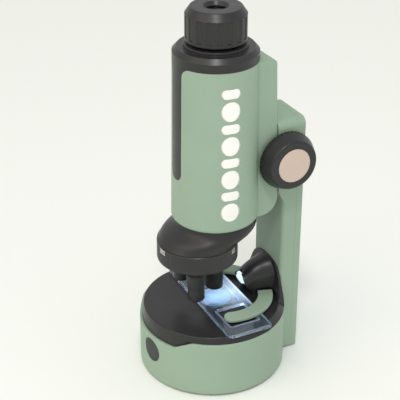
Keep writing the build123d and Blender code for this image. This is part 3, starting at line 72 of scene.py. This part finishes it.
# ---- node helpers ----------------------------------------------------------------
class Shader:
    """A small builder for node materials."""

    def __init__(self, name):
        self.material = bpy.data.materials.new(name)
        self.material.use_nodes = True
        self.tree = self.material.node_tree
        self.surface = self.tree.nodes["Principled BSDF"]

    def node(self, kind, inputs=None, **settings):
        made = self.tree.nodes.new(kind)
        for key, value in settings.items():
            setattr(made, key, value)
        for key, value in (inputs or {}).items():
            self.feed(made, key, value)
        return made

    def feed(self, target, key, value):
        if isinstance(value, bpy.types.NodeSocket):
            self.tree.links.new(value, target.inputs[key])
        else:
            target.inputs[key].default_value = value

    def set(self, **inputs):
        for key, value in inputs.items():
            self.feed(self.surface, key.replace("_", " "), value)

    def position(self):
        return self.node("ShaderNodeTexCoord").outputs["Object"]

    def distance(self, point):
        """How far the shaded spot is from a fixed point."""
        made = self.node("ShaderNodeVectorMath", operation="DISTANCE")
        self.feed(made, 0, self.node("ShaderNodeNewGeometry").outputs["Position"])
        self.feed(made, 1, point)
        return made.outputs["Value"]

    def noise(self, scale, detail=3.0, roughness=0.5, vector=None):
        made = self.node("ShaderNodeTexNoise", {"Scale": scale, "Detail": detail, "Roughness": roughness,
                                                "Vector": vector or self.position()})
        return made.outputs["Fac"]

    def streaks(self, scales, detail):
        """Noise with its own scale along each axis, which draws it out into lines."""
        mapped = self.node("ShaderNodeMapping", {"Vector": self.position(), "Scale": scales})
        return self.noise(1.0, detail, vector=mapped.outputs["Vector"])

    def ramp(self, value, low, high, to_low=0.0, to_high=1.0):
        made = self.node("ShaderNodeMapRange", {"Value": value, "From Min": low, "From Max": high,
                                                "To Min": to_low, "To Max": to_high})
        return made.outputs["Result"]

    def mix(self, factor, first, second):
        made = self.node("ShaderNodeMix", data_type="RGBA")
        self.feed(made, 0, factor)
        self.feed(made, 6, first)
        self.feed(made, 7, second)
        return made.outputs[2]

    def math(self, operation, first, second):
        made = self.node("ShaderNodeMath", operation=operation)
        self.feed(made, 0, first)
        self.feed(made, 1, second)
        return made.outputs[0]

    def rounded_normal(self, radius):
        return self.node("ShaderNodeBevel", {"Radius": radius}, samples=4).outputs["Normal"]

    def edges(self, radius):
        """1 on sharp edges and 0 on flat stretches."""
        made = self.node("ShaderNodeVectorMath", operation="DOT_PRODUCT")
        self.feed(made, 0, self.rounded_normal(radius))
        self.feed(made, 1, self.node("ShaderNodeNewGeometry").outputs["Normal"])
        return self.ramp(made.outputs["Value"], 0.995, 0.90)

    def bump(self, height, distance, normal=None):
        made = self.node("ShaderNodeBump", {"Height": height, "Distance": distance, "Strength": 1.0})
        if normal is not None:
            self.feed(made, "Normal", normal)
        return made.outputs["Normal"]


def srgb(red, green, blue):
    """Linear colour from display values between 0 and 255."""
    def linear(value):
        share = value / 255
        return share / 12.92 if share <= 0.04045 else ((share + 0.055) / 1.055) ** 2.4
    return (linear(red), linear(green), linear(blue), 1.0)


def shaded(colour, factor):
    return tuple(channel * factor for channel in colour[:3]) + (1.0,)


# ---- materials -------------------------------------------------------------------
# Radius of the mask for paler edges, which are partly wear and partly a painted highlight.
EDGE_WEAR_AND_HIGHLIGHT_RADIUS = 0.6 * MM
SOFT_EDGE = 0.35 * MM
ACRYLIC_EDGE = 0.3 * MM
BRUSHED_SCALES = (40.0, 40.0, 2600.0)
BRUSHED_DEPTH = 0.004 * MM
SCRATCH_SCALES = (3000.0, 160.0, 160.0)
SCRATCH_DEPTH = 0.003 * MM
BATTERY_BAND_START = 11.0 * MM
BATTERY_BAND_BLEND = 0.2 * MM


def moulded_plastic(name, colour, roughness, grain_mm=0.012, subsurface=0.0, edge_wear_and_highlight=1.25, specular=0.5):
    """Injection-moulded plastic: spark grain, faint flow marks, paler edges (partly handling wear, partly a
    painted highlight) and light smudges.
    """
    s = Shader(name)
    flow = s.noise(18.0, 4.0)
    speck = s.noise(5200.0, 2.0)
    smudge = s.noise(75.0, 6.0, 0.65)
    edge = s.edges(EDGE_WEAR_AND_HIGHLIGHT_RADIUS)
    tint = s.mix(s.ramp(flow, 0.35, 0.65), shaded(colour, 0.95), shaded(colour, 1.04))
    tint = s.mix(s.math("MULTIPLY", s.ramp(speck, 0.45, 0.75), 0.10), tint, shaded(colour, 1.3))
    # Paler edges: partly handling wear, partly a painted highlight on the edges.
    tint = s.mix(s.math("MULTIPLY", edge, 0.35), tint, shaded(colour, edge_wear_and_highlight))
    rough = s.ramp(smudge, 0.3, 0.75, roughness - 0.05, roughness + 0.07)
    rough = s.math("SUBTRACT", rough, s.math("MULTIPLY", edge, 0.08))
    grain = s.math("ADD", s.noise(3400.0, 2.0), s.math("MULTIPLY", s.noise(900.0, 2.0), 0.6))
    normal = s.bump(grain, grain_mm * MM, s.rounded_normal(SOFT_EDGE))
    s.set(Base_Color=tint, Roughness=rough, Normal=normal, IOR=1.5, Specular_IOR_Level=specular,
          Subsurface_Weight=subsurface, Subsurface_Radius=(0.002, 0.003, 0.002), Subsurface_Scale=0.3)
    return s.material


def metal(name, colour, roughness):
    """Turned or plated metal with fine brushing and faint tarnish."""
    s = Shader(name)
    lines = s.streaks(BRUSHED_SCALES, 3.0)
    tarnish = s.noise(260.0, 5.0)
    tint = s.mix(s.ramp(tarnish, 0.35, 0.7), shaded(colour, 0.8), colour)
    rough = s.ramp(lines, 0.3, 0.7, roughness - 0.08, roughness + 0.1)
    s.set(Base_Color=tint, Metallic=1.0, Roughness=rough, Normal=s.bump(lines, BRUSHED_DEPTH))
    return s.material


def lens_glass(name, tint, roughness):
    """Clear glass with faint smears."""
    s = Shader(name)
    smears = s.noise(110.0, 6.0, 0.7)
    s.set(Base_Color=tint, Roughness=s.ramp(smears, 0.4, 0.8, roughness, roughness + 0.12),
          Transmission_Weight=0.96, IOR=1.52)
    return s.material


def lit_acrylic(name, tint, light, strength, source, reach):
    """Scratched clear acrylic with painted lamp light: glowing edges, a faint mottled glow and a painted pool of
    light, all stronger near the lamp.
    """
    s = Shader(name)
    away = s.distance(source)
    near = s.ramp(away, 0.0, reach, 1.0, 0.28)
    edge = s.edges(ACRYLIC_EDGE)
    painted_glow_mottle = s.ramp(s.noise(140.0, 5.0, 0.6), 0.35, 0.75, 0.008, 0.03)
    painted_light_pool = s.ramp(away, 0.15 * reach, 0.40 * reach, 0.55, 0.0)
    # All of this glow is painted light on the slide, which is no lamp.
    lit = s.math("ADD", s.math("ADD", edge, painted_glow_mottle), painted_light_pool)
    smears = s.noise(110.0, 6.0, 0.7)
    scratches = s.streaks(SCRATCH_SCALES, 2.0)
    s.set(Base_Color=tint, Roughness=s.ramp(smears, 0.4, 0.8, 0.04, 0.16), IOR=1.49,
          Transmission_Weight=0.97, Emission_Color=light,
          Emission_Strength=s.math("MULTIPLY", lit, s.math("MULTIPLY", near, strength)),
          Normal=s.bump(scratches, SCRATCH_DEPTH))
    return s.material


def window_glow(name, colour, strength, centre, reach):
    """Milky window with painted light from below: a painted glow, bright in the middle and dim at the rim."""
    s = Shader(name)
    fade = s.ramp(s.distance(centre), 0.0, reach, strength, strength * 0.1)
    painted_glow_patches = s.ramp(s.noise(260.0, 4.0), 0.3, 0.7, 0.8, 1.15)
    # The window is no lamp; its emission is painted light.
    s.set(Base_Color=colour, Roughness=0.35, Transmission_Weight=0.2, Emission_Color=colour,
          Emission_Strength=s.math("MULTIPLY", fade, painted_glow_patches))
    return s.material


def glowing(name, colour, strength, clear=0.5):
    """A lit lamp: bright where it faces the viewer, duller at its rim and dimmer in reflections."""
    s = Shader(name)
    seen = s.node("ShaderNodeLightPath").outputs["Is Camera Ray"]
    seen_share = s.ramp(seen, 0.0, 1.0, 0.12, 1.0)
    facing = s.node("ShaderNodeLayerWeight", {"Blend": 0.35}).outputs["Facing"]
    core = s.ramp(facing, 0.0, 0.9, strength, strength * 0.35)
    cells = s.ramp(s.noise(900.0, 2.0), 0.3, 0.7, 0.85, 1.1)
    s.set(Base_Color=colour, Roughness=0.18, Transmission_Weight=clear, Emission_Color=colour,
          Emission_Strength=s.math("MULTIPLY", s.math("MULTIPLY", core, cells), seen_share))
    return s.material


def striped_sleeve(name):
    """Plain battery sleeve: dark body and a copper-coloured band at one end."""
    s = Shader(name)
    along = s.node("ShaderNodeSeparateXYZ", {"Vector": s.position()}).outputs["X"]
    band = s.ramp(along, BATTERY_BAND_START, BATTERY_BAND_START + BATTERY_BAND_BLEND)
    tint = s.mix(band, srgb(52, 56, 62), srgb(190, 128, 78))
    s.set(Base_Color=tint, Roughness=s.ramp(s.noise(60.0, 4.0), 0.3, 0.7, 0.22, 0.34), Coat_Weight=0.4)
    return s.material


def solder_mask(name):
    """Green circuit board with fine etched tracks under the mask."""
    s = Shader(name)
    white, black = (1, 1, 1, 1), (0, 0, 0, 1)
    tracks = s.node("ShaderNodeTexBrick", {"Vector": s.position(), "Scale": 420.0, "Mortar Size": 0.03,
                                           "Color1": white, "Color2": white, "Mortar": black})
    tint = s.mix(tracks.outputs["Color"], srgb(60, 140, 70), srgb(18, 82, 44))
    s.set(Base_Color=tint, Roughness=0.3, Coat_Weight=0.5, Normal=s.bump(s.noise(2000.0), 0.01 * MM))
    return s.material


GREEN = srgb(151, 173, 153)
BLACK = srgb(40, 40, 41)
DAYLIGHT_BLUE = srgb(206, 226, 255)
GLOW_REACH = 50 * MM

materials = {
    "green_shell": moulded_plastic("green_plastic", GREEN, 0.55, 0.010, subsurface=0.08, edge_wear_and_highlight=1.12,
                                   specular=0.3),
    "black_plastic": moulded_plastic("black_plastic", BLACK, 0.34, 0.012, edge_wear_and_highlight=2.2, specular=0.42),
    "button_grey": moulded_plastic("button_plastic", srgb(64, 68, 65), 0.6, 0.02, specular=0.3),
    "beige_cap": moulded_plastic("beige_plastic", srgb(207, 188, 175), 0.55, 0.014, subsurface=0.06,
                                 specular=0.3),
    "foot_rubber": moulded_plastic("foot_rubber", srgb(36, 36, 36), 0.8, 0.04, specular=0.25),
    "inner_plastic": moulded_plastic("inner_plastic", srgb(225, 225, 216), 0.5, 0.01, subsurface=0.1),
    "gear_brass": metal("brass", srgb(214, 178, 100), 0.3),
    "contact_brass": metal("contact_brass", srgb(222, 192, 120), 0.25),
    "screw_steel": metal("steel", srgb(196, 198, 202), 0.3),
    "battery_sleeve": striped_sleeve("battery_sleeve"),
    "board_green": solder_mask("solder_mask"),
    "led_clear": glowing("led_glow", srgb(226, 246, 255), 4.0),
    "lens_glass": lens_glass("lens_glass", srgb(226, 240, 246), 0.02),
    "window_white": window_glow("window_glow", srgb(206, 230, 250), 1.5, WINDOW_CENTRE, WINDOW_R * 0.95),
    "slide_clear": lit_acrylic("slide_acrylic", srgb(196, 212, 232), DAYLIGHT_BLUE, 0.9, LAMP_MOUTH,
                               GLOW_REACH),
    "cable_red": moulded_plastic("cable_sleeve", srgb(170, 40, 34), 0.4, 0.01),
}
slot_of = {row["node"]: row["material_slot"] for row in frame["record"]["subparts"]}
for node_name, node_object in nodes.items():
    node_object.data.materials.clear()
    node_object.data.materials.append(materials[slot_of[node_name]])
nodes["lamp_lens"].data.materials[0] = glowing("lamp_glow", srgb(206, 238, 250), 1.3, clear=0.3)


# ---- printed marks ---------------------------------------------------------------
PRINT_THICKNESS = 0.08 * MM
BARREL_NARROWING = 1.2 * MM
print_ink = moulded_plastic("white_print", srgb(246, 246, 242), 0.6, 0.004)


def add_object(name, data):
    made = bpy.data.objects.new(name, data)
    bpy.context.scene.collection.objects.link(made)
    return made


def barrel_radius(z):
    """The barrel's radius at a height: it narrows a little towards the top."""
    share = (z - barrel_low.z) / (barrel_high.z - barrel_low.z)
    return BARREL_AXIS.y - barrel_low.y - BARREL_NARROWING * share


def turret_radius(z):
    """The turret's rim is straight where the figures stand, so one radius serves."""
    return TURRET_R


def cylinder_point(axis, radius, turn, z):
    """A point on an upright cylinder; turn is the angle from -Y towards +X."""
    return Vector((axis.x + radius * math.sin(turn), axis.y - radius * math.cos(turn), z))


def wrapped_mesh(name, rows, columns, axis, radius_at, turn, z):
    """A patch wrapped on an upright cylinder.
    rows holds (height, left, right) in metres, measured from the patch's own middle."""
    mesh = bmesh.new()
    grid = []
    for height, left, right in rows:
        radius = radius_at(z + height)
        line = []
        for column in range(columns + 1):
            across = left + (right - left) * column / columns
            line.append(mesh.verts.new(cylinder_point(axis, radius, turn + across / radius, z + height)))
        grid.append(line)
    for lower, upper in zip(grid, grid[1:]):
        for column in range(columns):
            mesh.faces.new((lower[column], lower[column + 1], upper[column + 1], upper[column]))
    bmesh.ops.recalc_face_normals(mesh, faces=mesh.faces[:])
    data = bpy.data.meshes.new(name)
    mesh.to_mesh(data)
    mesh.free()
    for face in data.polygons:
        face.use_smooth = True
    return data


def add_mark(name, rows, columns, axis, radius_at, turn, z, body):
    """A thin raised print that rides on a moving body."""
    mark = add_object(name, wrapped_mesh(name, rows, columns, axis, radius_at, turn, z))
    shell = mark.modifiers.new("print_thickness", "SOLIDIFY")
    shell.thickness = PRINT_THICKNESS
    shell.offset = 0.0
    mark.data.materials.append(print_ink)
    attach(mark, body)


def pill_rows(width, height, corner, steps=10):
    """Rows of an upright rectangle with round corners."""
    rows = []
    for step in range(steps + 1):
        turn = math.pi / 2 * step / steps
        rise = corner * (1 - math.cos(turn))
        inset = corner * (1 - math.sin(turn))
        rows.append((rise - height / 2, inset - width / 2, width / 2 - inset))
    upper = rows[:-1] if math.isclose(2 * corner, height) else rows
    return rows + [(-row[0], row[1], row[2]) for row in reversed(upper)]


def bar_rows(start, end, line):
    """Rows of an upright or level bar of even width between two points."""
    (x0, y0), (x1, y1) = start, end
    low, high = min(y0, y1) - line / 2, max(y0, y1) + line / 2
    left, right = min(x0, x1) - line / 2, max(x0, x1) + line / 2
    return [(low, left, right), (high, left, right)]


# A plain column of discs and bars stands on the barrel's side where a name would be printed.
COLUMN_TURN = math.radians(83)
COLUMN_LOW = barrel_low.z + 7 * MM
COLUMN_HIGH = barrel_high.z - 10 * MM
COLUMN_W = 10.4 * MM
COLUMN_BAR = 5.0 * MM
COLUMN_PAIRS = 4
COLUMN_STEPS = 12
column_gap = (COLUMN_HIGH - COLUMN_LOW - COLUMN_PAIRS * (COLUMN_W + COLUMN_BAR)) / (2 * COLUMN_PAIRS - 1)
column_z = COLUMN_LOW
for place in range(2 * COLUMN_PAIRS):
    shape_h = COLUMN_BAR if place % 2 else COLUMN_W
    add_mark(f"column_mark_{place}", pill_rows(COLUMN_W, shape_h, shape_h / 2), COLUMN_STEPS, BARREL_AXIS,
             barrel_radius, COLUMN_TURN, column_z + shape_h / 2, "carriage")
    column_z += shape_h + column_gap

# Small magnification figures on the turret's rim, a third of a turn apart.
DIGIT_W = 1.1 * MM
DIGIT_H = 2.2 * MM
DIGIT_LINE = 0.42 * MM
DIGIT_PITCH = 1.6 * DIGIT_W
DIGIT_STEPS = 2
NUMBER_Z = turret_high.z - 2.4 * MM
NUMBERS = (("300", 5), ("60", 125), ("120", 245))
SEGMENTS = {
    "a": ((0, 1), (1, 1)), "b": ((1, 1), (1, 0.5)), "c": ((1, 0.5), (1, 0)), "d": ((0, 0), (1, 0)),
    "e": ((0, 0.5), (0, 0)), "f": ((0, 1), (0, 0.5)), "g": ((0, 0.5), (1, 0.5)),
}
DIGITS = {"0": "abcdef", "1": "bc", "2": "abged", "3": "abgcd", "6": "afgedc"}


def add_number(text, turn):
    for place, digit in enumerate(text):
        across = (place - (len(text) - 1) / 2) * DIGIT_PITCH - DIGIT_W / 2
        for segment in DIGITS[digit]:
            ends = [(across + x * DIGIT_W, (y - 0.5) * DIGIT_H) for x, y in SEGMENTS[segment]]
            add_mark(f"number_{text}_{place}_{segment}", bar_rows(*ends, DIGIT_LINE), DIGIT_STEPS,
                     TURRET_AXIS, turret_radius, turn, NUMBER_Z, "turret")


for text, degrees in NUMBERS:
    add_number(text, math.radians(degrees))


# ---- floor -----------------------------------------------------------------------
FLOOR_COLOUR = (0.905, 0.930, 0.900, 1.0)
FLOOR_REACH = 3.0
FLOOR_CELLS = 8


def floor_paint():
    s = Shader("floor_paint")
    speck = s.noise(600.0, 3.0)
    s.set(Base_Color=s.mix(speck, FLOOR_COLOUR, shaded(FLOOR_COLOUR, 1.01)), Roughness=0.9,
          Specular_IOR_Level=0.0, Normal=s.bump(speck, 0.005 * MM))
    return s.material


floor_mesh = bmesh.new()
bmesh.ops.create_grid(floor_mesh, x_segments=FLOOR_CELLS, y_segments=FLOOR_CELLS, size=FLOOR_REACH)
floor_data = bpy.data.meshes.new("floor")
floor_mesh.to_mesh(floor_data)
floor_mesh.free()
floor = add_object("floor", floor_data)
floor.data.materials.append(floor_paint())


# ---- light -----------------------------------------------------------------------
WORLD_STRENGTH = 0.76
SUN_POWER = 0.62
SUN_COLOUR = (1.0, 0.84, 0.60)
SUN_SPREAD = math.radians(50)
SUN_AZIMUTH = math.radians(10)
SUN_ELEVATION = math.radians(42)
SOFT_BOX_PLACE = Vector((0.356, -0.182, 0.783))
SOFT_BOX_TARGET = Vector((0, 0, 0.09))
SOFT_BOX_SIZE = 0.10
SOFT_BOX_POWER = 1.7
BEAM_POWER = 0.045
BEAM_COLOUR = (0.55, 0.78, 1.0)
BEAM_SPREAD = math.radians(150)
BEAM_SOURCE_R = 2.5 * MM
BEAM_START = 3.5 * MM


def direction(azimuth, elevation):
    """A unit vector; azimuth is the angle from -Y towards +X."""
    return Vector((math.sin(azimuth) * math.cos(elevation), -math.cos(azimuth) * math.cos(elevation),
                   math.sin(elevation)))


def add_light(kind, name, power, colour=(1, 1, 1)):
    data = bpy.data.lights.new(name, kind)
    data.energy = power
    data.color = colour
    return add_object(name, data)


world = bpy.data.worlds.new("studio")
world.use_nodes = True
backdrop = world.node_tree.nodes["Background"]
backdrop.inputs["Color"].default_value = (1.0, 1.0, 1.0, 1.0)
backdrop.inputs["Strength"].default_value = WORLD_STRENGTH
bpy.context.scene.world = world

sun = add_light("SUN", "window_light", SUN_POWER, SUN_COLOUR)
sun.data.angle = SUN_SPREAD
sun.rotation_euler = direction(SUN_AZIMUTH, SUN_ELEVATION).to_track_quat("Z", "Y").to_euler()

soft_box = add_light("AREA", "soft_box", SOFT_BOX_POWER)
soft_box.data.shape = "DISK"
soft_box.data.size = SOFT_BOX_SIZE
soft_box.location = SOFT_BOX_PLACE
soft_box.rotation_euler = (SOFT_BOX_TARGET - SOFT_BOX_PLACE).to_track_quat("-Z", "Y").to_euler()

# The microscope's own lamp: light leaves its mouth towards the glass, and its disc isn't mirrored there.
beam_way = (GLASS_CENTRE - LAMP_MOUTH).normalized()
beam = add_light("SPOT", "lamp_beam", BEAM_POWER, BEAM_COLOUR)
beam.data.spot_size = BEAM_SPREAD
beam.data.spot_blend = 0.8
beam.data.shadow_soft_size = BEAM_SOURCE_R
beam.visible_glossy = False
beam.visible_transmission = False
beam.location = LAMP_MOUTH + beam_way * BEAM_START
beam.rotation_euler = beam_way.to_track_quat("-Z", "Y").to_euler()


# ---- camera ----------------------------------------------------------------------
VIEW_AZIMUTH = math.radians(63.15)
VIEW_ELEVATION = math.radians(28.58)
VIEW_DISTANCE = 0.6038
VIEW_TARGET = Vector((-0.0035, -0.0108, 0.0989))

camera = add_object("camera", bpy.data.cameras.new("camera"))
camera.data.sensor_width = 36.0
camera.data.lens = 102.5
camera.data.clip_start = 0.05
camera.location = VIEW_TARGET + direction(VIEW_AZIMUTH, VIEW_ELEVATION) * VIEW_DISTANCE
camera.rotation_euler = (math.pi / 2 - VIEW_ELEVATION, 0, VIEW_AZIMUTH)
bpy.context.scene.camera = camera
bpy.context.scene.view_settings.view_transform = "Standard"
